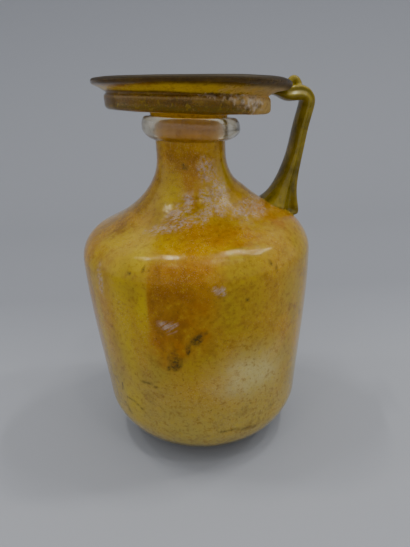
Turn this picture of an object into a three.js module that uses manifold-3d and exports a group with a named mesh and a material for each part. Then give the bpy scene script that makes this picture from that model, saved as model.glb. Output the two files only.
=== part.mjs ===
// Blown glass jug with a round body, a wide dish mouth on a folded collar, a clear glass
// ring round the neck and a drawn handle from the shoulder to the rim.
// Millimetres, +Z up. The origin is the middle of the flat underside that the jug stands on,
// and the handle stands on the +X side, turned a little to the back.

import * as THREE from 'three';
import { mergeVertices } from 'three/addons/utils/BufferGeometryUtils.js';
import Module from 'manifold-3d';

const wasm = await Module();
wasm.setup();

// Body, from the underside up
const footRadius = 20;          // flat disc that it stands on
const heelRadius = 43;          // where the rounded bottom runs into the wall
const heelHeight = 21;
const bodyRadius = 47.6;        // widest ring, just under the shoulder
const wallHeight = 64;          // from the heel to the widest ring
const turnRadius = 12.5;        // round turn from the wall to the shoulder
const shoulderSlope = 23;       // degrees that the shoulder rises towards the neck
const neckRadius = 13.9;
const neckRise = 39;            // from the widest ring to the straight neck
const neckLength = 10;          // straight neck, which the ring sits on
const wall = 2.2;
const floorThickness = 3.4;

// Mouth
const funnelHeight = 6.1;       // short funnel between the straight neck and the collar
const funnelRadius = 15.2;
const collarRadius = 31.6;      // folded collar under the rim
const collarHeight = 6.1;
const collarRound = 1.7;        // lower edge of the fold
const creaseDepth = 0.5;        // how far the fold is drawn in under the flare
const creaseTurn = 1.6;         // height over which the fold is drawn in
const funnelTurn = 0.8;         // height of the small round between funnel and collar
const rimRadius = 37.8;
const flareHeight = 4.4;        // from the crease to the middle of the lip
const lipRadius = 1.25;         // half the thickness of the rounded lip

// The neck was bent when soft: the mouth drops towards the handle and rises to the front
const mouthDrop = 0.07;         // mm down for each mm towards the handle
const mouthRise = 0.034;        // mm up for each mm to the front
const rimLift = 0.025;          // the flare is drawn up again on the handle's side
const rimShift = 1.8;           // the flare is drawn out towards the handle
const bendLength = 16;          // length of neck that the bend is spread over

// Clear ring on the neck
const ringRadius = 19.3;
const ringHeight = 8.6;
const ringSeat = 5.6;           // its lower edge above the start of the straight neck
const ringBelly = 0.5;          // height of its widest place, as a share of its height
const ringEdge = 0.6;           // rounding at the two edges of its bore
const ringShift = 0.6;          // the ring is thicker on the handle's side

// Handle
const handleTurn = 9;           // degrees behind the +X side
const footInset = 10.4;         // middle of its foot, inside the body's widest ring
const strapOut = 8.6;           // middle of the strap beyond the rim's outer edge
const strapThickness = 5.3;
const strapWidth = 11;
const footSpread = 8;           // what the foot adds to half the thickness
const footWiden = 4;            // what the foot adds to half the width
const footBlend = 0.16;         // share of the handle's height that the foot fades over
const grooveDepth = 0.2;        // side groove, as a share of half the width
const underRim = 0.6;           // swelling of the strap where it is pressed under the rim
const curlRadius = 1.6;         // curled end of the glass on the rim
const curlLength = 6;

const gap = 0.3;                // clearance between pieces that touch
const segments = 42;            // round the vessel
const handleSides = 20;
const handleSteps = 40;

// Heights that follow from the sizes above
const bodyTop = heelHeight + wallHeight;
const neckStart = bodyTop + neckRise;
const neckEnd = neckStart + neckLength;
const collarBase = neckEnd + funnelHeight;
const crease = collarBase + collarHeight;
const lipMiddle = crease + flareHeight;
const handleFoot = bodyRadius - footInset;
const rad = THREE.MathUtils.degToRad;

const at = (r, z) => new THREE.Vector2(r, z);

// Points along a cubic from a to b, leaving a and reaching b in the directions given
function cubic(a, leave, reach, b, steps) {
  return new THREE.CubicBezierCurve(a, a.clone().add(leave), b.clone().sub(reach), b)
    .getPoints(steps);
}

// Points along a round turn about (r, z), from one angle to another in degrees
function turn(r, z, radius, from, to, steps) {
  return Array.from({ length: steps + 1 }, (_, i) => {
    const angle = rad(THREE.MathUtils.lerp(from, to, i / steps));
    return at(r + radius * Math.cos(angle), z + radius * Math.sin(angle));
  });
}

// Chains stretches of an outline and drops the points that two stretches share
function chain(...stretches) {
  const points = [];
  for (const point of stretches.flat()) {
    if (!points.length || points.at(-1).distanceTo(point) > 1e-6) points.push(point);
  }
  return points;
}

// Outline of the rounded bottom, wall, shoulder and neck, from the underside up
function bodyOutline(steps) {
  const widest = at(bodyRadius, bodyTop);
  const heel = at(heelRadius, heelHeight);
  const lean = widest.clone().sub(heel).normalize();
  const arc = turn(bodyRadius - turnRadius, bodyTop, turnRadius, 0, 90 - shoulderSlope, steps);
  const shoulder = arc.at(-1);
  const run = shoulder.x - neckRadius;
  const slope = at(-Math.cos(rad(shoulderSlope)), Math.sin(rad(shoulderSlope)));
  return chain(
    cubic(at(footRadius, 0), at((heelRadius - footRadius) * 0.38, 0),
      lean.clone().multiplyScalar(heelHeight * 0.5), heel, steps + 1),
    cubic(heel, lean.clone().multiplyScalar(wallHeight * 0.3),
      at(0, wallHeight * 0.33), widest, steps - 1),
    arc,
    cubic(shoulder, slope.multiplyScalar(run * 0.75),
      at(0, (neckStart - shoulder.y) * 0.52), at(neckRadius, neckStart), steps * 2 - 1),
  );
}

// Outline of the straight neck, the funnel, the collar and the flare, outside
function mouthOutline() {
  const foldEdge = collarRadius - collarRound;
  const creaseRadius = collarRadius - creaseDepth;
  return chain(
    cubic(at(neckRadius, neckEnd - neckLength * 0.4), at(0, neckLength * 0.4),
      at((funnelRadius - neckRadius) * 0.8, funnelHeight * 0.6),
      at(funnelRadius, collarBase - funnelTurn), 4),
    cubic(at(funnelRadius, collarBase - funnelTurn), at(funnelTurn * 0.25, funnelTurn * 0.5),
      at(funnelTurn, 0), at(funnelRadius + funnelTurn * 2, collarBase), 2),
    turn(foldEdge, collarBase + collarRound, collarRound, -90, 0, 4),
    cubic(at(collarRadius, crease - creaseTurn), at(0, creaseTurn * 0.6), at(0, 0.3),
      at(creaseRadius, crease), 2),
    cubic(at(creaseRadius, crease), at(0.5, 0.8), at(1.6, 0.9),
      at(rimRadius - lipRadius * 0.5, lipMiddle - lipRadius * 0.87), 4),
  );
}

// Moves an outline inwards, square to itself, by a distance that may vary along it
function inset(points, distance) {
  return points.map((point, i) => {
    const next = points[Math.min(i + 1, points.length - 1)];
    const last = points[Math.max(i - 1, 0)];
    const along = next.clone().sub(last).normalize();
    return at(point.x - along.y * distance(i), point.y + along.x * distance(i));
  });
}

// Bends the neck and mouth: a point drops or rises by its place, and the flare shifts
function bend(geometry) {
  const place = geometry.attributes.position;
  for (let i = 0; i < place.count; i += 1) {
    const [x, y, z] = [place.getX(i), place.getY(i), place.getZ(i)];
    const bent = THREE.MathUtils.smoothstep(z, neckEnd - bendLength, neckEnd);
    const flared = THREE.MathUtils.smoothstep(z, crease, lipMiddle);
    place.setX(i, x + flared * rimShift);
    place.setZ(i, z - bent * (x * mouthDrop + y * mouthRise) + flared * x * rimLift);
  }
  return geometry;
}

// Turns an outline, given as radius and height, into a closed body round the Z axis
function lathe(outline) {
  const geometry = new THREE.LatheGeometry(outline, segments);
  geometry.rotateX(Math.PI / 2);
  return geometry;
}

function toSolid(geometry) {
  const bare = geometry.clone();
  bare.deleteAttribute('normal');
  bare.deleteAttribute('uv');
  const merged = mergeVertices(bare, 1e-5);
  const triVerts = [];
  for (let i = 0; i < merged.index.count; i += 3) {
    const [a, b, c] = [0, 1, 2].map((k) => merged.index.getX(i + k));
    if (a !== b && b !== c && c !== a) triVerts.push(a, b, c);
  }
  return new wasm.Manifold(new wasm.Mesh({
    numProp: 3,
    vertProperties: new Float32Array(merged.attributes.position.array),
    triVerts: new Uint32Array(triVerts),
  }));
}

function fromSolid(solid) {
  const mesh = solid.getMesh();
  const geometry = new THREE.BufferGeometry();
  geometry.setAttribute('position', new THREE.BufferAttribute(mesh.vertProperties, 3));
  geometry.setIndex(new THREE.BufferAttribute(mesh.triVerts, 1));
  return geometry;
}

// Vessel
const outerSide = chain(bodyOutline(5), mouthOutline());
const lip = turn(rimRadius - lipRadius, lipMiddle, lipRadius, -30, 160, 5);

function vesselOutline() {
  const body = bodyOutline(4);
  const innerBody = inset(body, (i) => (
    THREE.MathUtils.lerp(floorThickness, wall, Math.min(i / 5, 1))));
  const dishRadius = collarRadius - wall;
  const dishFloor = collarBase + wall;
  const bore = neckRadius - wall;
  const inner = chain(
    innerBody,
    cubic(at(bore, neckEnd - neckLength * 0.4), at(0, neckLength * 0.4), at(1.2, 1.5),
      at(funnelRadius - wall + 1, dishFloor - 0.4), 3),
    [at(dishRadius - 2.4, dishFloor)],
    turn(dishRadius - collarRound, dishFloor + collarRound, collarRound, -60, 0, 2),
    [at(dishRadius, crease + 0.6)],
  );
  return chain([at(0, 0)], outerSide, lip, inner.reverse(), [at(0, innerBody[0].y)]);
}

// The vessel without its hollow, grown by the clearance: what the handle is cut with
function vesselEnvelope() {
  const grown = inset(chain(outerSide, lip), () => -gap);
  return bend(lathe(chain([at(0, -gap)], grown, [at(0, grown.at(-1).y)])));
}

// Clear ring: its bore follows the neck with the clearance
function ringOutline() {
  const base = neckStart + ringSeat;
  const belly = base + ringHeight * ringBelly;
  const top = base + ringHeight;
  const neckSide = mouthOutline();
  const boreAt = (z) => {
    const above = neckSide.findIndex((point) => point.y >= z);
    if (above < 1) return neckRadius + gap;
    const [a, b] = [neckSide[above - 1], neckSide[above]];
    return THREE.MathUtils.mapLinear(z, a.y, b.y, a.x, b.x) + gap;
  };
  const foot = at(boreAt(base) + ringEdge, base);
  const bellyPoint = at(ringRadius, belly);
  const crown = at(boreAt(top) + ringEdge * 2, top);
  const steps = 4;
  const bore = Array.from({ length: steps + 1 }, (_, i) => {
    const z = THREE.MathUtils.lerp(top - ringEdge, base + ringEdge, i / steps);
    return at(boreAt(z), z);
  });
  const ring = chain(
    cubic(foot, at((ringRadius - foot.x) * 0.45, ringHeight * 0.06),
      at(0, (belly - base) * 0.45), bellyPoint, 5),
    cubic(bellyPoint, at(0, top - belly), at((crown.x - ringRadius) * 0.45, 0), crown, 4),
    bore,
  );
  return [...ring, ring[0]];
}

function ringGeometry() {
  const geometry = lathe(ringOutline());
  const place = geometry.attributes.position;
  for (let i = 0; i < place.count; i += 1) {
    const radius = Math.hypot(place.getX(i), place.getY(i));
    const out = (radius - neckRadius) / (ringRadius - neckRadius);
    place.setX(i, place.getX(i) + ringShift * THREE.MathUtils.clamp(out, 0, 1));
  }
  return bend(geometry);
}

// Height of the body's outside at a radius on the shoulder
function shoulderAt(radius) {
  const side = bodyOutline(12).filter((point) => point.y > bodyTop);
  const next = side.findIndex((point) => point.x <= radius);
  const [a, b] = [side[Math.max(next - 1, 0)], side[next]];
  return THREE.MathUtils.mapLinear(radius, a.x, b.x, a.y, b.y);
}

// Handle: middle line in its own upright plane, from inside the shoulder to under the flare
function handlePath() {
  const footZ = shoulderAt(handleFoot);
  const rimEdge = rimRadius + rimShift;
  const outR = rimEdge + strapOut;
  const drop = mouthDrop * rimEdge;
  const bendZ = crease - drop - strapThickness * 0.5;
  const arch = bendZ + strapThickness * 0.83;
  const strap = [[-0.06, 0], [0.14, 0.17], [0.33, 0.36], [0.57, 0.59], [0.8, 0.79], [1, 1]];
  const over = [[0.8, -1.6], [3, -0.3], [6, -0.2], [9, -0.3], [12, 0]];
  return new THREE.CatmullRomCurve3([
    ...strap.map(([up, out]) => new THREE.Vector3(THREE.MathUtils.lerp(handleFoot, outR, out),
      0, THREE.MathUtils.lerp(footZ, bendZ, up))),
    ...over.map(([back, up]) => new THREE.Vector3(outR - back, 0, arch + up)),
    new THREE.Vector3(collarRadius + 1.6, 0, arch + 0.5),
  ], false, 'centripetal');
}

// Section of the strap: a full oval with a groove along each side, grown at the foot
function strapSection(angle, height, back) {
  const foot = Math.exp(-Math.max(height, 0) / footBlend);
  const toe = THREE.MathUtils.smoothstep(height, -0.1, 0.02);
  const tip = THREE.MathUtils.smoothstep(back, 0.5, 1);
  const swell = Math.sin(Math.PI * Math.min(back * 1.2, 1)) * underRim;
  const thick = (strapThickness / 2 + footSpread * foot * toe + swell) * (1 - tip * 0.6);
  const wide = (strapWidth / 2 + footWiden * foot * toe) * (1 - tip * 0.3);
  const full = (value) => Math.sign(value) * Math.abs(value) ** 0.8;
  const across = full(Math.sin(angle));
  const groove = Math.exp(-(((across - 0.2) / 0.3) ** 2));
  return [thick * across, wide * full(Math.cos(angle)) * (1 - grooveDepth * groove)];
}

// Bends a unit cylinder along the path and gives each ring of points its own section
function handleGeometry() {
  const path = handlePath();
  const footZ = shoulderAt(handleFoot);
  const outermost = path.getPoint(5 / (path.points.length - 1));
  const end = path.getPoint(1);
  const geometry = new THREE.CylinderGeometry(1, 1, 1, handleSides, handleSteps);
  const place = geometry.attributes.position;
  for (let i = 0; i < place.count; i += 1) {
    const along = 0.5 - place.getY(i);
    const centre = path.getPointAt(along);
    const direction = path.getTangentAt(along);
    const back = direction.x < -0.2
      ? THREE.MathUtils.mapLinear(centre.x, outermost.x, end.x, 0, 1) : 0;
    const height = (centre.z - footZ) / (outermost.z - footZ);
    const reach = Math.hypot(place.getX(i), place.getZ(i));
    const angle = Math.atan2(place.getX(i), place.getZ(i));
    const [thick, wide] = strapSection(angle, height, Math.max(back, 0));
    place.setXYZ(i,
      centre.x + direction.z * thick * reach,
      wide * reach,
      centre.z - direction.x * thick * reach);
  }
  return geometry;
}

// Curled end of the glass, a short roll that sinks a little into the top of the strap
function curlGeometry() {
  const path = handlePath();
  const seat = path.getPoint(7.6 / (path.points.length - 1));
  const geometry = new THREE.SphereGeometry(1, 12, 8);
  geometry.scale(curlRadius, curlLength / 2, curlRadius);
  geometry.translate(seat.x, 0, seat.z + strapThickness / 2 + underRim + curlRadius * 0.5);
  return geometry;
}

const turnBack = (geometry) => geometry.rotateZ(rad(handleTurn));
const handleBody = toSolid(turnBack(handleGeometry()))
  .add(toSolid(turnBack(curlGeometry())))
  .subtract(toSolid(vesselEnvelope()));

const amber = new THREE.MeshStandardMaterial({ color: 0xa87822, roughness: 0.25, metalness: 0 });
const clear = new THREE.MeshStandardMaterial({ color: 0xd8d8cc, roughness: 0.1, metalness: 0 });
const olive = new THREE.MeshStandardMaterial({ color: 0x5e5418, roughness: 0.15, metalness: 0 });

function named(name, geometry, material) {
  const mesh = new THREE.Mesh(geometry, material);
  mesh.name = name;
  return mesh;
}

const jug = new THREE.Group();
jug.add(named('vessel', fromSolid(toSolid(bend(lathe(vesselOutline())))), amber));
jug.add(named('neck_ring', fromSolid(toSolid(ringGeometry())), clear));
jug.add(named('handle', fromSolid(handleBody), olive));

export default jug;
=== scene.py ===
import math

import bpy
import numpy as np
from mathutils import Matrix


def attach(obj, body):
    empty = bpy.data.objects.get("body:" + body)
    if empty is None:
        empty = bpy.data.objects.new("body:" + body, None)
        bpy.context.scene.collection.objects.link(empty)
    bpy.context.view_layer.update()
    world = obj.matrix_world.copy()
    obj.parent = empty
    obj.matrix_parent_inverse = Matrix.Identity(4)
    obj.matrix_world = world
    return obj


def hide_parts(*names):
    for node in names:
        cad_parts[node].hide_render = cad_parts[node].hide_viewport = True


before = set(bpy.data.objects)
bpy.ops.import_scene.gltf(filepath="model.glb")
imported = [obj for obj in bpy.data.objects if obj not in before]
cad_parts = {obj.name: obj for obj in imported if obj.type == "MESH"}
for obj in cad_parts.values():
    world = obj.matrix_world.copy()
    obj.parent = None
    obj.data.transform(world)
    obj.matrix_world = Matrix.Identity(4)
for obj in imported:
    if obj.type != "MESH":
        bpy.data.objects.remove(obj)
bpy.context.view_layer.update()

mm = 0.001
print("frame loaded, nodes:", sorted(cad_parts))


# Small tools on numbers

def smoothStep(low, high, value):
    # 0 below low, 1 above high, 3t^2 - 2t^3 between
    t = np.clip((value - low) / (high - low), 0, 1)
    return t * t * (3 - 2 * t)


def cubicPath(start, leave, reach, end, count):
    # Bezier cubic: its two handles are start + leave and end - reach
    t = np.linspace(0, 1, count)[:, None]
    start, leave, reach, end = (np.array(p, float) for p in (start, leave, reach, end))
    return ((1 - t) ** 3 * start + 3 * t * (1 - t) ** 2 * (start + leave)
            + 3 * t * t * (1 - t) * (end - reach) + t ** 3 * end)


def arcPath(centre, radius, fromDeg, toDeg, count):
    # centre + radius * (cos a, sin a)
    a = np.radians(np.linspace(fromDeg, toDeg, count))
    return np.stack([centre[0] + radius * np.cos(a), centre[1] + radius * np.sin(a)], 1)


def joinPaths(*paths):
    # one path after another, without the points that two of them share
    line = np.concatenate(paths)
    step = np.linalg.norm(np.diff(line, axis=0), axis=1)
    return line[np.concatenate([[True], step > 1e-6])]


def evenPath(line, count):
    # the same path with its points at equal steps of length
    length = np.concatenate([[0], np.cumsum(np.linalg.norm(np.diff(line, axis=0), axis=1))])
    at = np.linspace(0, length[-1], count)
    return np.stack([np.interp(at, length, line[:, k]) for k in range(line.shape[1])], 1)


def splinePath(points, count, perStretch=16):
    # Catmull-Rom: each stretch is a cubic whose end slopes are half the step between neighbours
    p = np.array(points, float)
    p = np.concatenate([[2 * p[0] - p[1]], p, [2 * p[-1] - p[-2]]])
    t = np.linspace(0, 1, perStretch, endpoint=False)[:, None]
    parts = [0.5 * (2 * b + (c - a) * t + (2 * a - 5 * b + 4 * c - d) * t ** 2
                    + (3 * b - a - 3 * c + d) * t ** 3)
             for a, b, c, d in zip(p[:-3], p[1:-2], p[2:-1], p[3:])]
    return evenPath(np.concatenate(parts + [p[-2:-1]]), count)


def latticeNoise(place, seed):
    # smooth noise from -1 to 1: values of a hashed cubic lattice, blended by smooth steps
    base = np.floor(place).astype(np.int64)
    part = place - base
    blend = part * part * (3 - 2 * part)
    total = np.zeros(place.shape[:-1])
    for corner in range(8):
        offset = np.array([corner & 1, corner >> 1 & 1, corner >> 2 & 1])
        cell = base + offset
        mixed = cell[..., 0] * 73856093 ^ cell[..., 1] * 19349663 ^ cell[..., 2] * 83492791
        mixed = (mixed ^ seed * 2654435761) & 0xFFFFFFFF
        mixed = ((mixed ^ mixed >> 15) * 2246822519) & 0xFFFFFFFF
        mixed = (mixed ^ mixed >> 13) & 0xFFFF
        weight = np.prod(np.where(offset == 1, blend, 1 - blend), axis=-1)
        total += weight * (mixed / 32767.5 - 1)
    return total


def layeredNoise(place, size, layers, seed):
    # sum of lattice noises, each half as large and half as strong as the one before
    total = np.zeros(place.shape[:-1])
    for k in range(layers):
        total += latticeNoise(place * (2 ** k / size), seed + k) * 0.5 ** k
    return total


def bellRound(x, y, atDeg, wideDeg):
    # bell curve of the angle from the front: 1 at atDeg, exp(-1) at wideDeg to either side
    turned = np.degrees(np.arctan2(x, -y)) - atDeg
    return np.exp(-(turned / wideDeg) ** 2)


# Meshes from grids

def gridArrays(grid):
    # grid[row, column] of points, closed round the columns and by a point at each end
    rows, columns = grid.shape[:2]
    index = np.arange(rows * columns).reshape(rows, columns)
    right = np.roll(index, -1, axis=1)
    quads = np.stack([index[:-1], right[:-1], right[1:], index[1:]], -1).reshape(-1, 4)
    low, high = rows * columns, rows * columns + 1
    fans = np.concatenate([np.stack([right[0], index[0], np.full(columns, low)], -1),
                           np.stack([index[-1], right[-1], np.full(columns, high)], -1)])
    return np.concatenate([grid.reshape(-1, 3), [grid[0].mean(0), grid[-1].mean(0)]]), quads, fans


def meshPiece(name, points, quads, fans):
    # an object from points in millimetres, quads and triangles
    mesh = bpy.data.meshes.new(name)
    corners = np.concatenate([np.ravel(quads), np.ravel(fans)])
    counts = np.concatenate([np.full(len(quads), 4), np.full(len(fans), 3)])
    starts = np.concatenate([[0], np.cumsum(counts)[:-1]])
    mesh.vertices.add(len(points))
    mesh.loops.add(len(corners))
    mesh.polygons.add(len(counts))
    mesh.vertices.foreach_set("co", (points * mm).astype(np.float32).ravel())
    mesh.loops.foreach_set("vertex_index", corners.astype(np.int32))
    mesh.polygons.foreach_set("loop_start", starts.astype(np.int32))
    mesh.update(calc_edges=True)
    mesh.validate()
    mesh.shade_smooth()
    piece = bpy.data.objects.new(name, mesh)
    bpy.context.scene.collection.objects.link(piece)
    return piece


def paintPoints(piece, name, red, green, blue):
    # a colour attribute with one mask in each channel, one value a point
    layer = piece.data.color_attributes.new(name, "FLOAT_COLOR", "POINT")
    count = len(piece.data.vertices)
    colour = np.ones((count, 4), np.float32)
    for channel, mask in enumerate((red, green, blue)):
        flat = np.ravel(mask)
        colour[:len(flat), channel] = np.clip(flat, 0, 1)
        colour[len(flat):, channel] = 0
    layer.data.foreach_set("color", colour.ravel())


# Vessel, in millimetres: the CAD solid's outline, but fuller from the shoulder up to the neck

vessel = {
    "footRadius": 20, "heelRadius": 43, "heelHeight": 21, "bodyRadius": 47.6,
    "wallHeight": 64, "turnRadius": 12.5, "shoulderSlope": 23, "neckRadius": 13.9,
    "neckRise": 39, "neckLength": 10, "wall": 2.2, "floor": 3.4,
    "heelOut": 0.38, "heelUp": 0.5, "wallLeave": 0.3, "wallReach": 0.33,     # shares of the run
    "slopeLeave": 0.58, "neckReach": 0.46, "neckBend": 0.4,
    "funnelHeight": 6.1, "funnelRadius": 15.2, "funnelOut": 0.8, "funnelUp": 0.6,
    "underEdge": 0.8, "underRound": 1.6,                                     # funnel's upper edge
    "collarRadius": 31.6, "collarHeight": 6.1, "collarRound": 1.7, "creaseDepth": 0.9,
    "creaseRun": 1.4, "rimRadius": 37.8, "flareHeight": 4.4, "lipRadius": 1.25,
    "mouthDrop": 0.07, "mouthRise": 0.034, "rimLift": 0.025, "rimShift": 1.8, "bendLength": 16,
    "droop": 1.3, "droopAt": 88, "droopWide": 26, "droopFrom": (33, 39),     # pairs are fades
    "raised": 2.1, "raisedAt": 88, "raisedWide": 45, "raisedInner": (14, 22),
    "raisedOuter": (38, 47), "raisedLow": (84, 92), "raisedHigh": (108, 126),
    "lipTurn": (-30, 160), "poleRadius": 0.4, "heelRows": 60,
    "columns": 352, "crowding": 0.42, "bodyRows": 160, "mouthRows": 84, "insideRows": 34,
    "wobble": 0.22, "rilling": 0.035, "rillPitch": 2.6,
    "foldWaves": (0.12, 0.07, 0.2), "lipWave": 0.06,
    "flakeRise": 0.18, "pitDepth": 0.3, "buffRise": 0.12,
}
bodyTop = vessel["heelHeight"] + vessel["wallHeight"]
neckStart = bodyTop + vessel["neckRise"]
neckEnd = neckStart + vessel["neckLength"]
collarBase = neckEnd + vessel["funnelHeight"]
crease = collarBase + vessel["collarHeight"]
lipMiddle = crease + vessel["flareHeight"]


def bodyLine(v):
    # rounded bottom, wall, round turn, shoulder and neck: cubics joined by one arc
    heel = np.array([v["heelRadius"], v["heelHeight"]])
    widest = np.array([v["bodyRadius"], bodyTop])
    lean = (widest - heel) / np.linalg.norm(widest - heel)
    slope = math.radians(v["shoulderSlope"])
    arc = arcPath((v["bodyRadius"] - v["turnRadius"], bodyTop), v["turnRadius"],
                  0, 90 - v["shoulderSlope"], 30)
    run = arc[-1, 0] - v["neckRadius"]
    return joinPaths(
        cubicPath((v["footRadius"], 0), ((v["heelRadius"] - v["footRadius"]) * v["heelOut"], 0),
                  lean * v["heelHeight"] * v["heelUp"], heel, v["heelRows"]),
        cubicPath(heel, lean * v["wallHeight"] * v["wallLeave"],
                  (0, v["wallHeight"] * v["wallReach"]), widest, 60),
        arc,
        cubicPath(arc[-1], (-math.cos(slope) * run * v["slopeLeave"],
                            math.sin(slope) * run * v["slopeLeave"]),
                  (0, (neckStart - arc[-1, 1]) * v["neckReach"]), (v["neckRadius"], neckStart), 90),
    )


def mouthLine(v):
    # straight neck, funnel, flat underside of the collar, its round edge and wall, and the flare
    bend = neckEnd - v["neckLength"] * v["neckBend"]
    funnelEdge = (v["funnelRadius"], collarBase - v["underEdge"])
    fold = v["collarRadius"] - v["collarRound"]
    inner = v["collarRadius"] - v["creaseDepth"]
    return joinPaths(
        [[v["neckRadius"], neckStart]],
        cubicPath((v["neckRadius"], bend), (0, v["neckLength"] * v["neckBend"]),
                  ((v["funnelRadius"] - v["neckRadius"]) * v["funnelOut"],
                   v["funnelHeight"] * v["funnelUp"]), funnelEdge, 30),
        cubicPath(funnelEdge, (0.2, 0.4), (0.8, 0),
                  (v["funnelRadius"] + v["underRound"], collarBase), 12),
        arcPath((fold, collarBase + v["collarRound"]), v["collarRound"], -90, 0, 20),
        cubicPath((v["collarRadius"], crease - v["creaseRun"]), (0, 0.8), (0.15, 0.2),
                  (inner, crease), 14),
        cubicPath((inner, crease), (0.5, 0.7), (1.6, 0.9),
                  (v["rimRadius"] - v["lipRadius"] * 0.5, lipMiddle - v["lipRadius"] * 0.87), 30),
    )


def insideLine(v, outer):
    # the body line moved in by the wall, then the bore, the dish floor, its wall and the flare
    along = np.gradient(outer, axis=0)
    along /= np.linalg.norm(along, axis=1)[:, None]
    inward = np.stack([-along[:, 1], along[:, 0]], 1)
    body = outer + inward * np.interp(np.arange(len(outer)), [0, v["heelRows"]],
                                      [v["floor"], v["wall"]])[:, None]
    dish = v["collarRadius"] - v["wall"]
    dishFloor = collarBase + v["wall"]
    bore = v["neckRadius"] - v["wall"]
    boreEdge = (v["funnelRadius"] - v["wall"] + 1, dishFloor - 0.4)
    return joinPaths(
        body,
        cubicPath((bore, neckEnd - v["neckLength"] * v["neckBend"]),
                  (0, v["neckLength"] * v["neckBend"]), (1.2, 1.5), boreEdge, 30),
        cubicPath(boreEdge, (0.4, 0.3), (2, 0), (dish - 2.4, dishFloor), 20),
        arcPath((dish - v["collarRound"], dishFloor + v["collarRound"]), v["collarRound"],
                -60, 0, 12),
        cubicPath((dish, crease), (0, 0.5), (0.2, 0.2), (dish + 0.5, crease + 0.9), 8),
    )


def mouthMove(x, y, z, v):
    # how far a point of the neck and mouth goes along X and Z: dropped towards +X, raised
    # towards -Y, with the flare shifted to +X
    bent = smoothStep(neckEnd - v["bendLength"], neckEnd, z)
    flared = smoothStep(crease, lipMiddle, z)
    lift = -bent * (x * v["mouthDrop"] + y * v["mouthRise"]) + flared * x * v["rimLift"]
    return flared * v["rimShift"], lift


def bendMouth(points, v):
    # the points with their move added
    x, y, z = points[..., 0], points[..., 1], points[..., 2]
    shift, lift = mouthMove(x, y, z, v)
    return np.stack([x + shift, y, z + lift], -1)


def droopRim(points, v):
    # the flare is pulled down beside the handle
    x, y, z = points[..., 0], points[..., 1], points[..., 2]
    low = (v["droop"] * bellRound(x, y, v["droopAt"], v["droopWide"])
           * smoothStep(*v["droopFrom"], np.hypot(x, y)))
    return np.stack([x, y, z - low * (z > collarBase)], -1)


def raiseShoulder(points, v):
    # the shoulder is drawn up under the handle, faded in and out along the radius and the height
    x, y, z = points[..., 0], points[..., 1], points[..., 2]
    radius = np.hypot(x, y)
    share = (bellRound(x, y, v["raisedAt"], v["raisedWide"])
             * smoothStep(*v["raisedInner"], radius) * (1 - smoothStep(*v["raisedOuter"], radius))
             * smoothStep(*v["raisedLow"], z) * (1 - smoothStep(*v["raisedHigh"], z)))
    return np.stack([x, y, z + v["raised"] * share], -1)


def lineNormals(line):
    # the outline's direction turned a quarter turn, which points out of the glass
    along = np.gradient(line, axis=0)
    along /= np.linalg.norm(along, axis=1)[:, None] + 1e-12
    return np.stack([along[:, 1], -along[:, 0]], 1)


bodyOuter = bodyLine(vessel)
mouthOuter = mouthLine(vessel)
lipLine = arcPath((vessel["rimRadius"] - vessel["lipRadius"], lipMiddle), vessel["lipRadius"],
                  *vessel["lipTurn"], 24)
insideOuter = insideLine(vessel, bodyOuter)
mouthAndLip = joinPaths(mouthOuter, lipLine)
floorLine = np.array([[vessel["poleRadius"], 0], [vessel["footRadius"], 0]])
outerLine = joinPaths(evenPath(joinPaths(floorLine, bodyOuter), vessel["bodyRows"]),
                      evenPath(mouthAndLip, vessel["mouthRows"]))
insideBack = insideOuter[::-1]
innerLine = evenPath(joinPaths(insideBack, [[vessel["poleRadius"], insideBack[-1, 1]]]),
                     vessel["insideRows"])
vesselLine = joinPaths(outerLine, innerLine)
outerRows = len(outerLine)

turns = np.linspace(-np.pi, np.pi, vessel["columns"], endpoint=False)
turns = (turns - vessel["crowding"] * np.sin(turns))[None, :]         # finer in front
frontDeg = np.degrees(turns)                                          # 0 in front, + to the right
ring = np.stack([np.sin(turns), -np.cos(turns)], -1)
vesselR, vesselZ = vesselLine[:, 0][:, None], vesselLine[:, 1][:, None]
whole = np.ones((len(vesselLine), vessel["columns"]))
plain = np.concatenate([vesselR[..., None] * ring, (vesselZ * whole)[..., None]], -1)
isOuter = (np.arange(len(vesselLine)) < outerRows)[:, None]


def wrapped(degrees):
    # the same angle between -180 and 180
    return (degrees + 180) % 360 - 180


def oval(front, height, wide, tall, soft=0.5, rough=0.3, seed=5, tilt=0):
    # 1 inside a tilted oval on the wall, 0 outside: distance with noise, through a smooth step
    across = np.radians(wrapped(frontDeg - front)) * vesselR
    up = vesselZ - height
    c, s = math.cos(math.radians(tilt)), math.sin(math.radians(tilt))
    distance = np.hypot((across * c + up * s) / wide, (up * c - across * s) / tall)
    distance = distance + rough * layeredNoise(plain, min(wide, tall) * 0.8, 3, seed)
    return (1 - smoothStep(1 - soft, 1 + soft, distance)) * isOuter


def ovals(rows, **settings):
    # the strongest of several ovals
    return np.max([oval(*row[:4], tilt=row[4] if len(row) > 4 else 0, seed=40 + 7 * k, **settings)
                   for k, row in enumerate(rows)], axis=0)


def strokes(rows, wide):
    # thin lines over the wall: distance to the nearest stretch of each line of places
    near = np.full(whole.shape, 99.0)
    for line in rows:
        for (a, z), (b, up) in zip(line[:-1], line[1:]):
            x = np.radians(wrapped(frontDeg - a)) * vesselR
            dx, dz = math.radians(b - a) * vesselR, up - z
            t = np.clip((x * dx + (vesselZ - z) * dz) / (dx * dx + dz * dz), 0, 1)
            near = np.minimum(near, np.hypot(x - t * dx, vesselZ - z - t * dz))
    return np.exp(-(near / wide) ** 2) * isOuter


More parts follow.
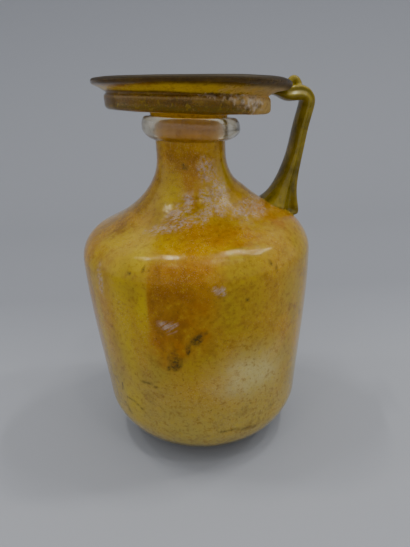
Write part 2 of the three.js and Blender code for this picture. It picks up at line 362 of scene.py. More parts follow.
# patches of colour on the wall: real stains, specks, crust and buff, and painted light and shade where
# noted
patches = {     # front angle, height, half width, half height, tilt
    "orange": [(-8, 84, 9.5, 12), (-13, 66, 7.5, 13), (-6, 72, 7.5, 10), (148, 82, 10, 11),
               (-128, 64, 8, 16), (-46, 149.2, 8, 1.3), (-24, 149.6, 4, 1)],
    # brown: real brown stains in front, and painted shade along the left side and at both edges of the
    # neck
    "brown": [(-9, 84, 7, 8), (-18, 80, 2.6, 16), (-12, 72, 5, 6), (-10, 123, 6, 4),
              (-28, 126, 4, 5), (-26, 104, 6, 4), (-67, 62, 8, 30), (-78, 70, 9, 42),
              (-62, 100, 7, 2.5), (-76, 114, 3.4, 12), (78, 116, 3, 12)],
    "amberRight": [(79, 99, 5, 5), (14, 99.5, 12, 3, -8), (62, 101, 8, 5), (-2, 117, 3, 9)],
    # yellow: painted glow of light shining through the glass
    "yellow": [(-27, 95, 5, 4), (-37, 66, 4.5, 26), (-25, 74, 3.5, 10), (-28, 108, 4.5, 9),
               (-24, 96, 8, 3), (-42, 32, 5, 9), (-57, 66, 3, 22), (-50, 98, 8, 3),
               (168, 58, 12, 14)],
    # pale: painted reflection on the lower body
    "paleReflection": [(22, 50, 7, 6), (24, 47, 12, 9)],
    # streak: weathered streaks, partly a painted sheen
    "streakAndSheen": [(-16, 106, 4, 2, 20), (-20, 101.8, 7, 1.3, 8), (-8, 103.4, 5, 1.4, 14),
               (8, 105.2, 5, 1.8, 20), (22, 108.5, 4, 4, 30), (34, 113, 3, 7),
               (58, 103.5, 10, 2.4), (-6, 109, 2.4, 2.4), (20, 120, 3, 4), (-14, 71, 3, 2),
               (-50, 84, 1.6, 5), (9, 84, 2, 1.6)],
    "speck": [(-2, 65.5, 2.4, 1.6, 30), (0, 67.6, 2.2, 0.9, 20), (-6, 61.5, 1, 2),
              (-12, 56.5, 2.6, 3.4), (-14, 53, 2.4, 1.2), (-10, 121, 1.4, 1), (34, 90.4, 1, 0.8),
              (37, 88, 0.8, 1), (21, 79.5, 0.8, 0.7), (60, 62.6, 0.8, 1.2), (-24, 91.5, 0.6, 1),
              (-31, 90, 0.6, 0.7)],
    "crust": [(28, 145.6, 8, 1), (37, 145, 5, 1.5), (44, 144, 6.5, 2.3), (16, 146, 5, 0.7),
              (52, 143.4, 4, 1.8)],
    "buff": [(68, 144.5, 13, 6), (60, 148.4, 24, 1.8), (47, 145, 10, 2)],
}
scratches = [     # front angle and height of each point
    [(-33, 43.3), (-30, 43.8), (-27, 43.5), (-23, 42.2)],
    [(-47, 30.6), (-43, 31), (-40, 30.3), (-35, 28.1)], [(-51, 26.5), (-48, 24.5), (-46, 22)],
    [(8, 21), (13, 21.2), (19, 20.3), (28, 19)], [(-50, 34), (-49, 37)],
]

brownPanel = {     # the brown panel in front, a painted darker view through the glass, with a fade in mm at each of its four sides
    "leftDeg": -22.5, "rightDeg": 1, "middle": 80, "leftLean": 0.06, "rightLean": 0.12,
    "left": (-0.6, 0.9), "right": (9, -1), "low": (54, 68), "high": (96, 91),
    "drifts": (2.5, 5, 3),
}
fades = {     # mm, counted from the landmark that each is used with
    "lip": (-0.5, 0.7), "underLipShadow": (-2.2, -0.9), "collarFoot": (-0.3, 0.3),
    "collarTop": (-0.5, 0.3), "flare": (0.4, 1), "low": (18, 66), "footStart": (0.2, 2),
    "footStop": (9.5, 14.5), "funnelStart": 1, "funnelStop": -2,
}
bands = {"crease": (0.2, 0.45), "edge": (-1.3, 0.35), "green": (1.5, 0.9)}     # middle, half width


def panelMask(p):
    # product of four smooth steps: the left side is sharp, the others wander with the drift
    above = p["middle"] - vesselZ
    onRight, onLow, onHigh = (share * drift for share in p["drifts"])
    leftward = np.radians(frontDeg - p["leftDeg"] + above * p["leftLean"]) * vesselR
    rightward = np.radians(frontDeg - p["rightDeg"]) * vesselR + onRight + above * p["rightLean"]
    return (smoothStep(*p["left"], leftward) * smoothStep(*p["right"], rightward)
            * smoothStep(*p["low"], vesselZ + onLow)
            * smoothStep(*p["high"], vesselZ + onHigh)) * isOuter


def fadeAt(level, name, z):
    # smooth step between two heights, both counted from a level
    return smoothStep(level + fades[name][0], level + fades[name][1], z)


def bandAt(level, name):
    # bell curve of the height, counted from a level
    middle, half = bands[name]
    return np.exp(-((vesselZ - level - middle) / half) ** 2)


drift = layeredNoise(plain, 26, 3, 11)
panel = panelMask(brownPanel)
# orange tone: real orange stains, and the panel's painted shade
orange = np.maximum(np.maximum(panel * 0.85, ovals(patches["orange"], soft=0.5)),
                    ovals(patches["amberRight"], soft=0.6) * 0.8)
# brown stains, with painted shade at the silhouettes
brown = ovals(patches["brown"], soft=0.6) * (0.6 + 0.4 * smoothStep(-0.4, 0.6, drift))
# painted glow of light shining through the glass
yellow = ovals(patches["yellow"], soft=0.7, rough=0.2)
# painted reflection on the lower body
paleReflection = ovals(patches["paleReflection"], soft=1.0, rough=0.2)
# weathered streaks, partly a painted sheen
streakAndSheen = ovals(patches["streakAndSheen"], soft=0.6, rough=0.5)
specks = np.maximum(ovals(patches["speck"], soft=0.5, rough=0.5), strokes(scratches, 0.55) * 0.8)
crust = ovals(patches["crust"], soft=0.4, rough=0.5)
buff = ovals(patches["buff"], soft=0.5, rough=0.35)
lipMask = fadeAt(lipMiddle, "lip", vesselZ) * whole
# painted shadow under the lip
underLipShadow = fadeAt(lipMiddle, "underLipShadow", vesselZ + 0.4 * drift) * isOuter * whole
collarMask = (fadeAt(collarBase, "collarFoot", vesselZ)
              * (1 - fadeAt(crease, "collarTop", vesselZ))) * isOuter
# painted shade in the crease
creaseShade = bandAt(crease, "crease") * isOuter * (1 - buff)
collarMask = collarMask * (1 - buff)
# painted highlight: a light line along the collar's upper edge
highlightLine = bandAt(crease, "edge") * collarMask
greenBand = bandAt(collarBase, "green") * collarMask
lowMask = (1 - fadeAt(0, "low", vesselZ + 9 * drift)) * whole
# painted shade: a dark band round the bottom, where it turns under
footShade = fadeAt(0, "footStart", vesselZ) * (1 - fadeAt(0, "footStop", vesselZ + 2 * drift)) * isOuter
# painted glow: the funnel and the flare above the crease, which face down, get a brighter tone
funnelGlow = smoothStep(neckEnd + fades["funnelStart"], collarBase + fades["funnelStop"], vesselZ)
paintedGlow = (funnelGlow * (vesselZ < collarBase + 0.1)
          + fadeAt(crease, "flare", vesselZ) * (1 - underLipShadow) * (1 - lipMask)
          * (1 - buff)) * isOuter

# Relief: out of round, turning marks, uneven fold and lip, and the flaky crust
wobble = vessel["wobble"] * (np.sin(2 * turns + 0.6) + 0.6 * np.sin(3 * turns + vesselZ * 0.03)
                             + 1.2 * latticeNoise(plain / 34, 3))
wobble = wobble * smoothStep(1, 14, vesselZ) * (1 - 0.4 * smoothStep(95, 118, vesselZ))
spiral = np.sin(2 * np.pi * (vesselZ / vessel["rillPitch"] + frontDeg / 360))
rilling = vessel["rilling"] * spiral * (0.6 + 0.6 * latticeNoise(plain / 18, 8))
rilling = rilling * smoothStep(86, 100, vesselZ)
slow, quick, uneven = vessel["foldWaves"]
foldWave = (slow * np.sin(3 * turns + 1.1) + quick * np.sin(7 * turns)
            + uneven * latticeNoise(plain / 8, 15)) * smoothStep(collarBase - 1, collarBase, vesselZ)
foldWave = foldWave * (1 - 0.7 * smoothStep(crease, crease + 2, vesselZ))
lipWave = vessel["lipWave"] * latticeNoise(plain / 9, 19) * lipMask
flakes = smoothStep(-0.2, 0.1, layeredNoise(plain, 1.5, 3, 81))
pits = smoothStep(0.05, 0.3, layeredNoise(plain, 1.3, 2, 91)) * (1 - 0.4 * flakes)
crustRelief = (crust * (vessel["flakeRise"] * flakes - vessel["pitDepth"] * pits)
               + buff * vessel["buffRise"])
relief = (wobble + rilling + foldWave + lipWave + crustRelief) * isOuter
normal = lineNormals(vesselLine)
outward = np.concatenate([normal[:, 0][:, None, None] * ring,
                          (normal[:, 1][:, None] * whole)[..., None]], -1)
grid = plain + relief[..., None] * outward
grid = raiseShoulder(droopRim(bendMouth(grid, vessel), vessel), vessel)
vesselPiece = meshPiece("jug_vessel", *gridArrays(grid))
# these masks include painted light, a glow, a reflection, a highlight and a sheen, and painted shade
# under the lip, in the crease, round the bottom and at the silhouettes
vesselMasks = {
    "orange": orange, "yellow": yellow, "paleReflection": paleReflection, "streakAndSheen": streakAndSheen, "speck": specks,
    "crusted": crust, "lip": lipMask, "collar": collarMask, "low": lowMask,
    "deep": np.maximum(underLipShadow, creaseShade), "paintedHighlight": highlightLine, "green": greenBand,
    "brown": brown, "buff": buff, "crust": crust * flakes, "crustDark": crust * pits,
    "paintedGlow": paintedGlow, "edge": footShade,
}
vesselPaint = {     # colour attribute: the masks in its red, green and blue
    "tones": ("orange", "yellow", "paleReflection"), "marks": ("streakAndSheen", "speck", "crusted"),
    "zones": ("lip", "collar", "low"), "edges": ("deep", "paintedHighlight", "green"),
    "patches": ("brown", "buff", "crust"), "pitsGlowShade": ("crustDark", "paintedGlow", "edge"),
}
for attribute, names in vesselPaint.items():
    paintPoints(vesselPiece, attribute, *(vesselMasks[name] for name in names))
print("vessel:", len(vesselPiece.data.polygons), "faces")


# Clear ring round the neck

ringSizes = {
    "radius": 19.3, "height": 8.6, "seat": 5.6, "belly": 0.5, "edge": 0.6, "shift": 0.6,
    "gap": 0.3, "flank": 0.45, "underRise": 0.06, "columns": 288, "rows": 96, "unevenness": 0.16,
}


def ringLine(r):
    # lower cubic from the bore's edge out to the belly, upper cubic back, then down the bore
    base = neckStart + r["seat"]
    belly, top = base + r["height"] * r["belly"], base + r["height"]

    def bore(z):
        return np.interp(z, mouthOuter[:, 1], mouthOuter[:, 0]) + r["gap"]     # neck and a gap

    foot = np.array([bore(base) + r["edge"], base])
    crown = np.array([bore(top) + r["edge"] * 2, top])
    widest = np.array([r["radius"], belly])
    boreZ = np.linspace(top - r["edge"], base + r["edge"], 12)
    return joinPaths(
        cubicPath(foot, ((r["radius"] - foot[0]) * r["flank"], r["height"] * r["underRise"]),
                  (0, (belly - base) * r["flank"]), widest, 40),
        cubicPath(widest, (0, top - belly), ((crown[0] - r["radius"]) * r["flank"], 0), crown, 30),
        cubicPath(crown, (-r["edge"], 0), (0, -r["edge"] * 0.5), (bore(boreZ[0]), boreZ[0]), 8),
        np.stack([bore(boreZ), boreZ], 1),
        cubicPath((bore(boreZ[-1]), boreZ[-1]), (0, -r["edge"] * 0.5), (r["edge"] * 0.5, 0),
                  foot, 8),
    )


def closedRing(line, columns):
    # a closed outline carried round the axis: points, and quads that join up both ways
    a = np.linspace(0, 2 * np.pi, columns, endpoint=False)
    r, z = line[:-1, 0][:, None], line[:-1, 1][:, None]
    index = np.arange(r.size * columns).reshape(-1, columns)
    up = np.roll(index, -1, axis=0)
    quads = np.stack([index, np.roll(index, -1, 1), np.roll(up, -1, 1), up], -1).reshape(-1, 4)
    return np.stack([r * np.cos(a), r * np.sin(a), z + 0 * a], -1).reshape(-1, 3), quads


def placeRing(points):
    # thicker on the handle's side, a little uneven, then bent with the neck
    radius = np.hypot(points[..., 0], points[..., 1])
    out = np.clip((radius - vessel["neckRadius"])
                  / (ringSizes["radius"] - vessel["neckRadius"]), 0, 1)
    grow = 1 + ringSizes["unevenness"] * out * latticeNoise(points / 8, 33) / radius
    x = points[..., 0] * grow + ringSizes["shift"] * out
    return bendMouth(np.stack([x, points[..., 1] * grow, points[..., 2]], -1), vessel)


ringEven = evenPath(ringLine(ringSizes), ringSizes["rows"])
ringPoints, ringQuads = closedRing(ringEven, ringSizes["columns"])
ringPiece = meshPiece("jug_neck_ring", placeRing(ringPoints), ringQuads, np.zeros((0, 3), int))
print("ring:", len(ringPiece.data.polygons), "faces")


# Handle: a section carried along a path in its own upright plane, and the curl at the lip

handle = {
    "turnDeg": 9, "footInset": 10.4, "strapOut": 8.6, "thickness": 5.3, "width": 11,
    "footSpread": 8, "footWiden": 4, "footBlend": 0.16, "underRim": 0.6,
    "squareness": 0.9, "heelSwell": 0.3, "toeSwell": -0.28, "tipThin": 0.6, "tipNarrow": 0.3,
    "bendDrop": 0.5, "archRise": 0.83, "endOut": 1.6, "endRise": 0.5,
    "grooveAt": 0.25, "grooveWide": 0.34, "grooveDepth": 0.32, "toeDepth": 0.3,
    "outerGroove": 0.16, "outerWide": 0.3,
    "around": 96, "along": 300, "cell": 0.3, "smoothing": 7, "sink": 0.5,
    "strap": [(-0.06, 0), (0.14, 0.17), (0.33, 0.36), (0.57, 0.59),     # shares of the way up
              (0.8, 0.79), (1, 1)],                                     # and of the way out
    "over": [(0.8, -1.6), (3, -0.3), (6, -0.2), (9, -0.3), (12, 0)],    # mm back and mm up
    "curl": [(45.4, 145.0), (44.8, 146.6), (44.4, 148.2), (43.6, 149.6), (42.4, 150.1),
             (41.3, 149.4), (41.1, 148.2), (41.8, 147.4), (42.7, 147.6)],
    "curlThick": 1.55, "curlThin": 1.2, "curlFlat": 1.3, "curlAlong": 90, "curlAround": 24,
}


def shoulderAt(radius):
    # height of the outside of the shoulder at a radius
    side = bodyOuter[bodyOuter[:, 1] > bodyTop]
    return float(np.interp(radius, side[::-1, 0], side[::-1, 1]))


def handlePath(h, v):
    # up from inside the shoulder, out to the bend, over and back under the flare
    foot = v["bodyRadius"] - h["footInset"]
    footZ = shoulderAt(foot)
    edge = v["rimRadius"] + v["rimShift"]
    outR = edge + h["strapOut"]
    bendZ = crease - v["mouthDrop"] * edge - h["thickness"] * h["bendDrop"]
    arch = bendZ + h["thickness"] * h["archRise"]
    points = [(foot + (outR - foot) * out, footZ + (bendZ - footZ) * up)
              for up, out in h["strap"]]
    points += [(outR - back, arch + up) for back, up in h["over"]]
    points.append((v["collarRadius"] + h["endOut"], arch + h["endRise"]))
    return splinePath(points, h["along"]), footZ, bendZ, outR


def sweep(path, thick, wide, across, side):
    # points off the path: across lies in its plane, square to it, and side is along Y
    along = np.gradient(path, axis=0)
    along /= np.linalg.norm(along, axis=1)[:, None]
    off = thick[:, None] * across
    return np.stack([path[:, 0][:, None] + along[:, 1][:, None] * off,
                     wide[:, None] * side + 0 * off,
                     path[:, 1][:, None] - along[:, 0][:, None] * off], -1)


def handleGrid(h, v):
    # section of sines to a power below 1, a groove on each side and one outside, swelled by an
    # exponential at the foot and by half a sine under the rim
    path, footZ, bendZ, outR = handlePath(h, v)
    height = (path[:, 1] - footZ) / (bendZ - footZ)
    turned = np.gradient(path[:, 0]) < -0.2 * np.linalg.norm(np.gradient(path, axis=0), axis=1)
    back = np.clip(np.where(turned, (outR - path[:, 0]) / (outR - path[-1, 0]), 0), 0, 1)
    foot = np.exp(-np.maximum(height, 0) / h["footBlend"]) * smoothStep(-0.1, 0.02, height)
    foot = np.where(back > 0, 0, foot)
    tip = smoothStep(0.5, 1, back)
    swell = np.sin(np.pi * np.minimum(back * 1.2, 1)) * h["underRim"]
    thick = (h["thickness"] / 2 + h["footSpread"] * foot + swell) * (1 - tip * h["tipThin"])
    wide = (h["width"] / 2 + h["footWiden"] * foot) * (1 - tip * h["tipNarrow"])
    a = np.linspace(0, 2 * np.pi, h["around"], endpoint=False)[None, :]
    across = np.sign(np.sin(a)) * np.abs(np.sin(a)) ** h["squareness"]
    side = -np.sign(np.cos(a)) * np.abs(np.cos(a)) ** h["squareness"]
    across = across * (1 + np.where(across < 0, h["heelSwell"], h["toeSwell"]) * foot[:, None] ** 2)
    deep = h["grooveDepth"] + h["toeDepth"] * foot[:, None]
    groove = np.exp(-((across - h["grooveAt"]) / h["grooveWide"]) ** 2) * deep
    outer = np.exp(-(side / h["outerWide"]) ** 2) * (across > 0) * h["outerGroove"]
    return sweep(path, thick, wide, across * (1 - outer), side * (1 - groove))


def curlGrid(h):
    # the drawn-out end of the trail: a thin, slightly flat rod that coils beside the lip
    path = splinePath(h["curl"], h["curlAlong"])
    size = np.linspace(h["curlThick"], h["curlThin"], len(path))
    size = size * smoothStep(-0.02, 0.04, np.linspace(1, 0, len(path)))
    a = np.linspace(0, 2 * np.pi, h["curlAround"], endpoint=False)[None, :]
    return sweep(path, size, size * h["curlFlat"], np.sin(a), -np.cos(a))


def turnBack(points, degrees):
    # turns points about Z
    c, s = math.cos(math.radians(degrees)), math.sin(math.radians(degrees))
    x, y, z = points[..., 0], points[..., 1], points[..., 2]
    return np.stack([x * c - y * s, x * s + y * c, z], -1)


def fuse(name, grids, cell, smoothing):
    # closed grids rebuilt as one skin on a lattice of cells, then relaxed
    arrays = [gridArrays(grid) for grid in grids]
    starts = np.cumsum([0] + [len(points) for points, quads, fans in arrays])
    draft = meshPiece(name, np.concatenate([points for points, quads, fans in arrays]),
                      np.concatenate([a[1] + start for a, start in zip(arrays, starts)]),
                      np.concatenate([a[2] + start for a, start in zip(arrays, starts)]))
    remesh = draft.modifiers.new("skin", "REMESH")
    remesh.mode, remesh.voxel_size = "VOXEL", cell * mm
    relax = draft.modifiers.new("relax", "SMOOTH")
    relax.factor, relax.iterations = 0.5, smoothing
    bpy.context.view_layer.update()
    skin = bpy.data.meshes.new_from_object(
        draft.evaluated_get(bpy.context.evaluated_depsgraph_get()))
    draft.modifiers.clear()
    draft.data = skin
    skin.name = name
    skin.shade_smooth()
    return draft


def keepOutside(points, line, depth, v):
    # points deeper than depth behind the outline move out to that depth, along its normal
    x, y, z = points.T
    shift, lift = mouthMove(x, y, z, v)
    flatX, flatZ = x - shift, z - lift
    radius = np.hypot(flatX, y)
    normals = lineNormals(line)
    gap = np.hypot(radius[:, None] - line[None, :, 0], flatZ[:, None] - line[None, :, 1])
    near = gap.argmin(1)
    off = ((radius - line[near, 0]) * normals[near, 0]
           + (flatZ - line[near, 1]) * normals[near, 1])
    push = np.maximum(-depth - off, 0)
    radial = push * normals[near, 0]
    return points + np.stack([radial * flatX / radius, radial * y / radius,
                              push * normals[near, 1]], -1)


handleGrids = [turnBack(grid, handle["turnDeg"]) for grid in (handleGrid(handle, vessel),
                                                              curlGrid(handle))]
handlePiece = fuse("jug_handle", handleGrids, handle["cell"], handle["smoothing"])
handlePoints = np.empty(len(handlePiece.data.vertices) * 3, np.float32)
handlePiece.data.vertices.foreach_get("co", handlePoints)
handlePoints = handlePoints.reshape(-1, 3).astype(float) / mm
handlePoints = keepOutside(handlePoints, evenPath(joinPaths(bodyOuter, mouthAndLip), 900),
                           handle["sink"], vessel)
handlePoints = raiseShoulder(handlePoints, vessel)
handlePiece.data.vertices.foreach_set("co", (handlePoints * mm).astype(np.float32).ravel())
handlePiece.data.update()
print("handle:", len(handlePiece.data.polygons), "faces")


# Materials

def plug(tree, value, socket):
    # joins a socket to the input, or sets a plain value on it
    if isinstance(value, bpy.types.NodeSocket):
        tree.links.new(value, socket)
    else:
        socket.default_value = value


def addNode(tree, kind, inputs=None, **settings):
    # one node: settings are its properties, inputs are values or sockets to join
    node = tree.nodes.new(kind)
    for key, value in settings.items():
        setattr(node, key, value)
    for key, value in (inputs or {}).items():
        plug(tree, value, node.inputs[key])
    return node


def blendColour(tree, share, under, over):
    # under where share is 0, over where it is 1
    node = addNode(tree, "ShaderNodeMix", {"Factor": share}, data_type="RGBA")
    for place, value in ((6, under), (7, over)):
        plug(tree, (*value, 1) if isinstance(value, tuple) else value, node.inputs[place])
    return node.outputs[2]


def combine(tree, how, first, second):
    # one Math node on two values or sockets, kept between 0 and 1
    node = addNode(tree, "ShaderNodeMath", {0: first, 1: second}, operation=how, use_clamp=True)
    return node.outputs[0]


def reach(tree, value, low, high, toLow=0.0, toHigh=1.0):
    # Map Range: low becomes toLow and high becomes toHigh
    node = addNode(tree, "ShaderNodeMapRange", {"Value": value, "From Min": low, "From Max": high,
                                                "To Min": toLow, "To Max": toHigh})
    return node.outputs[0]


def noiseAt(tree, where, scale, detail=4.0, rough=0.55, twist=0.0):
    # Noise texture: detail layers, each half as large and rough times as strong as the last
    node = addNode(tree, "ShaderNodeTexNoise", {"Vector": where, "Scale": scale, "Detail": detail,
                                                "Roughness": rough, "Distortion": twist})
    return node.outputs[0]


def newMaterial(name, **plainValues):
    # a Principled material: plain values go straight on its sockets
    material = bpy.data.materials.new(name)
    material.use_nodes = True
    tree = material.node_tree
    shader = tree.nodes["Principled BSDF"]
    for key, value in plainValues.items():
        shader.inputs[key].default_value = value
    where = addNode(tree, "ShaderNodeTexCoord").outputs["Object"]
    return material, tree, shader, where


def channels(tree, attribute):
    # the three masks painted in one colour attribute
    node = addNode(tree, "ShaderNodeAttribute", attribute_name=attribute)
    return addNode(tree, "ShaderNodeSeparateColor", {"Color": node.outputs["Color"]}).outputs


# some tones stand for light: the yellow and the brightest gold are a painted glow, the pale
# yellow-cream a painted reflection, the light tan a painted highlight, the deep and edge browns
# painted shade, the brown partly painted shade and the pinkish streak tone partly a painted sheen
amberColours = {
    "gold": (0.684, 0.378, 0.005), "olive": (0.55, 0.37, 0.015), "orange": (0.531, 0.206, 0),
    "brown": (0.26, 0.085, 0), "yellow": (0.77, 0.56, 0.01), "paleReflection": (0.86, 0.755, 0.33),
    "low": (0.57, 0.47, 0.12), "streakAndSheen": (0.68, 0.51, 0.42), "speck": (0.075, 0.048, 0.003),
    "crust": (0.86, 0.76, 0.64), "crustDark": (0.045, 0.026, 0.012), "collar": (0.1, 0.046, 0),
    "lip": (0.02, 0.013, 0.006), "stain": (0.319, 0.136, 0), "deep": (0.05, 0.021, 0.001),
    "paintedHighlight": (0.62, 0.43, 0.18), "green": (0.18, 0.14, 0), "buff": (0.68, 0.48, 0.17),
    "dust": (0.8, 0.68, 0.42), "paintedGlow": (0.95, 0.62, 0.01), "edge": (0.153, 0.13, 0.014),
}


amberNoises = {     # scale, detail, roughness and distortion
    "broad": (38, 4, 0.6, 0.4), "middle": (170, 6, 0.62), "fine": (900, 8, 0.7),
    "grain": (2600, 4, 0.6), "mottle": (520, 5, 0.7), "wavy": (220, 3, 0.5),
}
strandNoise = {"turned": (0.2, 1.0, 0.0), "stretched": (1.0, 1.0, 9.0),
               "row": (1400, 4, 0.6, 0.5)}
# some layers lay painted light, a glow, a reflection, a highlight and a sheen, and painted shade under
# the lip, in the crease, round the bottom and at the silhouettes
amberLayers = [     # mask, tone, least and greatest share, the noise between them and its range
    ("low", "low", 0.55, 0.95, "middle"), ("worn", "stain", 0, 0.5),
    ("paintedGlow", "paintedGlow", 0.6, 1.0, "middle"), ("edge", "edge", 0, 0.85),
    ("yellow", "yellow", 0.5, 0.95, "middle"), ("orange", "orange", 0.6, 1.0, "middle"),
    ("brown", "brown", 0.35, 0.95, "middle"), ("paleReflection", "paleReflection", 0.6, 0.95, "middle"),
    ("streakAndSheen", "streakAndSheen", 0.0, 1.0, "strands", 0.45, 0.57),
    ("collar", "collar", 0.75, 1.0, "middle"), ("green", "green", 0, 0.8),
    ("paintedHighlight", "paintedHighlight", 0.1, 0.9, "fine"), ("buff", "buff", 0.5, 1.0, "middle"),
    ("crust", "crust", 0.2, 1.0, "fine", 0.42, 0.56),
    ("crustDark", "crustDark", 0.4, 1.0, "grain", 0.4, 0.6),
    ("mottled", "stain", 0, 0.5), ("lightened", "yellow", 0, 0.35), ("dusty", "dust", 0, 0.42),
    ("collar", "collar", 0, 0.3), ("deep", "deep", 0.85, 1.0, "mottle"), ("lip", "lip", 0, 0.97),
]


def amberGlass(c):
    # the base colour is a pile of tones, each laid by its mask times a share, which a noise moves
    # between its two ends; roughness and bump follow the fine noise
    material, tree, shader, where = newMaterial(
        "amber_glass", **{"IOR": 1.5, "Transmission Weight": 0.45, "Specular IOR Level": 0.25,
                          "Specular Tint": (1.0, 0.86, 0.55, 1.0)})
    mask = {}
    for attribute, names in vesselPaint.items():
        mask.update(zip(names, channels(tree, attribute)))
    noise = {name: noiseAt(tree, where, *row) for name, row in amberNoises.items()}
    slant = addNode(tree, "ShaderNodeMapping", {"Vector": where, "Rotation": strandNoise["turned"],
                                                "Scale": strandNoise["stretched"]},
                    vector_type="TEXTURE").outputs[0]
    noise["strands"] = noiseAt(tree, slant, *strandNoise["row"])
    mask["worn"] = reach(tree, noise["middle"], 0.5, 0.7)
    mask["mottled"] = reach(tree, noise["mottle"], 0.51, 0.64)
    mask["lightened"] = reach(tree, noise["mottle"], 0.45, 0.34)
    mask["dusty"] = combine(tree, "MULTIPLY", reach(tree, noise["grain"], 0.56, 0.66),
                            reach(tree, noise["broad"], 0.4, 0.6))

    colour = blendColour(tree, reach(tree, noise["broad"], 0.38, 0.62), c["olive"], c["gold"])
    for name, tone, least, most, *broken in amberLayers:
        share = most
        if broken:
            between = broken[1:] or (0.35, 0.65)
            share = reach(tree, noise[broken[0]], *between, least, most)
        colour = blendColour(tree, combine(tree, "MULTIPLY", mask[name], share), colour, c[tone])
    dots = reach(tree, noise["fine"], 0.58, 0.69, 0, 0.6)
    spots = combine(tree, "MULTIPLY", mask["speck"], reach(tree, noise["fine"], 0.35, 0.6, 0.25, 1))
    colour = blendColour(tree, combine(tree, "MAXIMUM", dots, spots), colour, c["speck"])
    tree.links.new(colour, shader.inputs["Base Color"])

    dull = combine(tree, "MAXIMUM", combine(tree, "MAXIMUM", mask["crusted"], mask["buff"]),
                   mask["lip"])
    rough = combine(tree, "ADD", reach(tree, noise["fine"], 0.35, 0.75, 0.04, 0.2),
                    combine(tree, "MULTIPLY", dull, 0.4))
    rough = combine(tree, "ADD", rough, combine(tree, "MULTIPLY", mask["streakAndSheen"], 0.22))
    tree.links.new(rough, shader.inputs["Roughness"])
    waved = addNode(tree, "ShaderNodeBump", {"Height": noise["wavy"], "Strength": 0.25,
                                             "Distance": 0.0006})
    pitted = addNode(tree, "ShaderNodeBump", {"Height": noise["fine"], "Strength": 0.28,
                                              "Distance": 0.0002, "Normal": waved.outputs[0]})
    tree.links.new(pitted.outputs[0], shader.inputs["Normal"])
    return material


def clearGlass():
    # clear, with a faint cloud in its tint and roughness and a slow wave in its face
    material, tree, shader, where = newMaterial(
        "clear_glass", **{"IOR": 1.5, "Transmission Weight": 1.0, "Specular IOR Level": 0.35})
    cloud = noiseAt(tree, where, 300, 5, 0.6)
    colour = blendColour(tree, reach(tree, cloud, 0.35, 0.7), (1.0, 0.93, 0.74), (0.96, 0.84, 0.6))
    tree.links.new(colour, shader.inputs["Base Color"])
    tree.links.new(reach(tree, cloud, 0.35, 0.75, 0.08, 0.28), shader.inputs["Roughness"])
    bump = addNode(tree, "ShaderNodeBump", {"Height": noiseAt(tree, where, 160, 3), "Strength": 0.2,
                                            "Distance": 0.0005})
    tree.links.new(bump.outputs[0], shader.inputs["Normal"])
    return material


oliveColours = {"dark": (0.135, 0.095, 0.0), "light": (0.34, 0.25, 0.008),
                "film": (0.28, 0.23, 0.10)}


def oliveGlass(c):
    # dark and light tones through a cloud, with a thin film over them
    material, tree, shader, where = newMaterial(
        "olive_glass", **{"IOR": 1.5, "Transmission Weight": 0.3, "Specular IOR Level": 0.35,
                          "Specular Tint": (0.95, 0.95, 0.7, 1.0)})
    cloud = noiseAt(tree, where, 120, 5, 0.6, 0.5)
    fine = noiseAt(tree, where, 900, 6, 0.65)
    colour = blendColour(tree, reach(tree, cloud, 0.35, 0.65), c["dark"], c["light"])
    film = combine(tree, "MULTIPLY", reach(tree, fine, 0.55, 0.7), 0.4)
    colour = blendColour(tree, film, colour, c["film"])
    tree.links.new(colour, shader.inputs["Base Color"])
    tree.links.new(reach(tree, fine, 0.35, 0.75, 0.06, 0.3), shader.inputs["Roughness"])
    bump = addNode(tree, "ShaderNodeBump", {"Height": noiseAt(tree, where, 260, 4), "Strength": 0.3,
                                            "Distance": 0.0004})
    tree.links.new(bump.outputs[0], shader.inputs["Normal"])
    return material


for piece, material, slot, node in (
        (vesselPiece, amberGlass(amberColours), "amber_glass", "vessel"),
        (ringPiece, clearGlass(), "clear_glass", "neck_ring"),
        (handlePiece, oliveGlass(oliveColours), "olive_glass", "handle")):
    piece.data.materials.append(material)
    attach(piece, "root")
    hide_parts(node)
print("materials set")


# Stage, lights and camera

stage = {"reach": 1.6, "wallAt": 0.62, "cove": 0.3, "wallHeight": 0.75,
         "near": (0.32, 0.33, 0.352), "far": (0.238, 0.247, 0.268), "blendY": (0.02, 0.14)}


def makeStage(s):
    # floor, then a quarter round up to an upright wall behind, carried along X
    line = joinPaths([[-s["reach"], 0], [s["wallAt"] - s["cove"], 0]],
                     arcPath((s["wallAt"] - s["cove"], s["cove"]), s["cove"], -90, 0, 24),
                     [[s["wallAt"], s["wallHeight"]]])
    x = np.array([-s["reach"], s["reach"]])
    points = np.stack([np.tile(x[:, None], (1, len(line))), np.tile(line[:, 0], (2, 1)),
                       np.tile(line[:, 1], (2, 1))], -1)
    index = np.arange(2 * len(line)).reshape(2, -1)
    quads = np.stack([index[0, :-1], index[1, :-1], index[1, 1:], index[0, 1:]], -1)
    mesh = bpy.data.meshes.new("stage")
    mesh.from_pydata(points.reshape(-1, 3), [], quads)
    mesh.shade_smooth()
    piece = bpy.data.objects.new("stage", mesh)
    bpy.context.scene.collection.objects.link(piece)
    material, tree, shader, where = newMaterial("pale_stage", **{"Roughness": 0.9})
    depth = addNode(tree, "ShaderNodeSeparateXYZ", {"Vector": where}).outputs["Y"]
    tone = blendColour(tree, reach(tree, depth, *s["blendY"]), s["near"], s["far"])
    tree.links.new(tone, shader.inputs["Base Color"])
    mesh.materials.append(material)


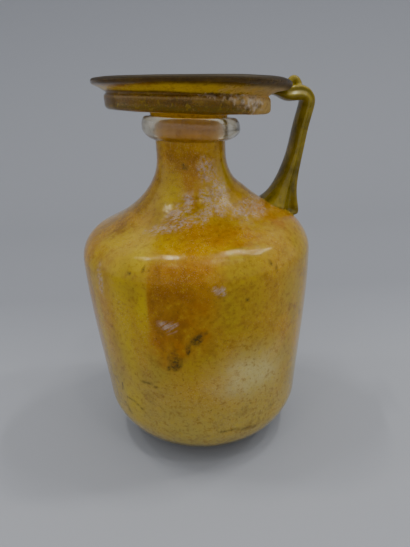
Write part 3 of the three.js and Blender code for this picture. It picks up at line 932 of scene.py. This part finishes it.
lampAim = (0, 0, 0.08)
lamps = [     # name, place, width, height, watts
    ("lampStripA", (-0.66, 0.05, 1.2), 0.11, 0.02, 1.1),
    ("lampStripB", (-0.29, 0.04, 1.2), 0.17, 0.02, 2.2),
    ("lampStripC", (0.38, 0.05, 1.2), 0.14, 0.025, 2.3),
    ("lampStripD", (0.72, 0.03, 1.2), 0.09, 0.025, 1.5),
    ("lampStripE", (1.12, 0.03, 1.2), 0.12, 0.03, 2.2),
    ("lampSpot", (0.25, -0.46, 1.2), 0.08, 0.025, 0.8),
    ("lampLeft", (-0.39, -0.61, 1.2), 0.03, 0.03, 0.35),
    ("lampRight", (0.66, -0.61, 1.2), 0.03, 0.03, 0.35),
]


def makeLamps(rows):
    # each lamp is a rectangle that faces the middle of the jug
    for name, place, wide, tall, power in rows:
        data = bpy.data.lights.new(name, "AREA")
        data.shape, data.size, data.size_y, data.energy = "RECTANGLE", wide, tall, power
        lamp = bpy.data.objects.new(name, data)
        toward = np.array(lampAim) - place
        backward = -toward / np.linalg.norm(toward)
        rightward = np.cross((0, 0, 1), backward)
        rightward /= np.linalg.norm(rightward)
        upward = np.cross(backward, rightward)
        lamp.matrix_world = Matrix([[rightward[k], upward[k], backward[k], place[k]]
                                    for k in range(3)] + [[0, 0, 0, 1]])
        bpy.context.scene.collection.objects.link(lamp)


camera = {"distance": 0.19617, "height": 0.1517, "pitchDeg": 22.12, "yawDeg": -0.97,
          "rollDeg": -2.71, "focalPixels": 480, "imageHeight": 547, "sensorHeight": 36}


def makeCamera(c):
    # looks along +Y, turned by yaw, tipped down by pitch and rolled about its own axis
    pitch, yaw, roll = (math.radians(c[key]) for key in ("pitchDeg", "yawDeg", "rollDeg"))
    forward = np.array([-math.sin(yaw) * math.cos(pitch), math.cos(yaw) * math.cos(pitch),
                        -math.sin(pitch)])
    level = np.array([math.cos(yaw), math.sin(yaw), 0])
    upright = np.cross(level, forward)
    rightward = math.cos(roll) * level + math.sin(roll) * upright
    upward = -math.sin(roll) * level + math.cos(roll) * upright
    data = bpy.data.cameras.new("camera")
    data.sensor_fit = "VERTICAL"
    data.sensor_height = c["sensorHeight"]
    data.lens = c["focalPixels"] / c["imageHeight"] * c["sensorHeight"]
    data.clip_start = 0.01
    piece = bpy.data.objects.new("camera", data)
    place = (0, -c["distance"], c["height"])
    piece.matrix_world = Matrix([[rightward[k], upward[k], -forward[k], place[k]]
                                 for k in range(3)] + [[0, 0, 0, 1]])
    bpy.context.scene.collection.objects.link(piece)
    bpy.context.scene.camera = piece


world = {"tone": (0.95, 0.96, 1.0), "strength": 0.88}


def makeWorld(w):
    # an even, slightly cool light from all round
    sky = bpy.data.worlds.new("world")
    sky.use_nodes = True
    background = sky.node_tree.nodes["Background"]
    background.inputs["Color"].default_value = (*w["tone"], 1)
    background.inputs["Strength"].default_value = w["strength"]
    bpy.context.scene.world = sky


makeStage(stage)
makeLamps(lamps)
makeCamera(camera)
makeWorld(world)
print("stage, lamps and camera set")
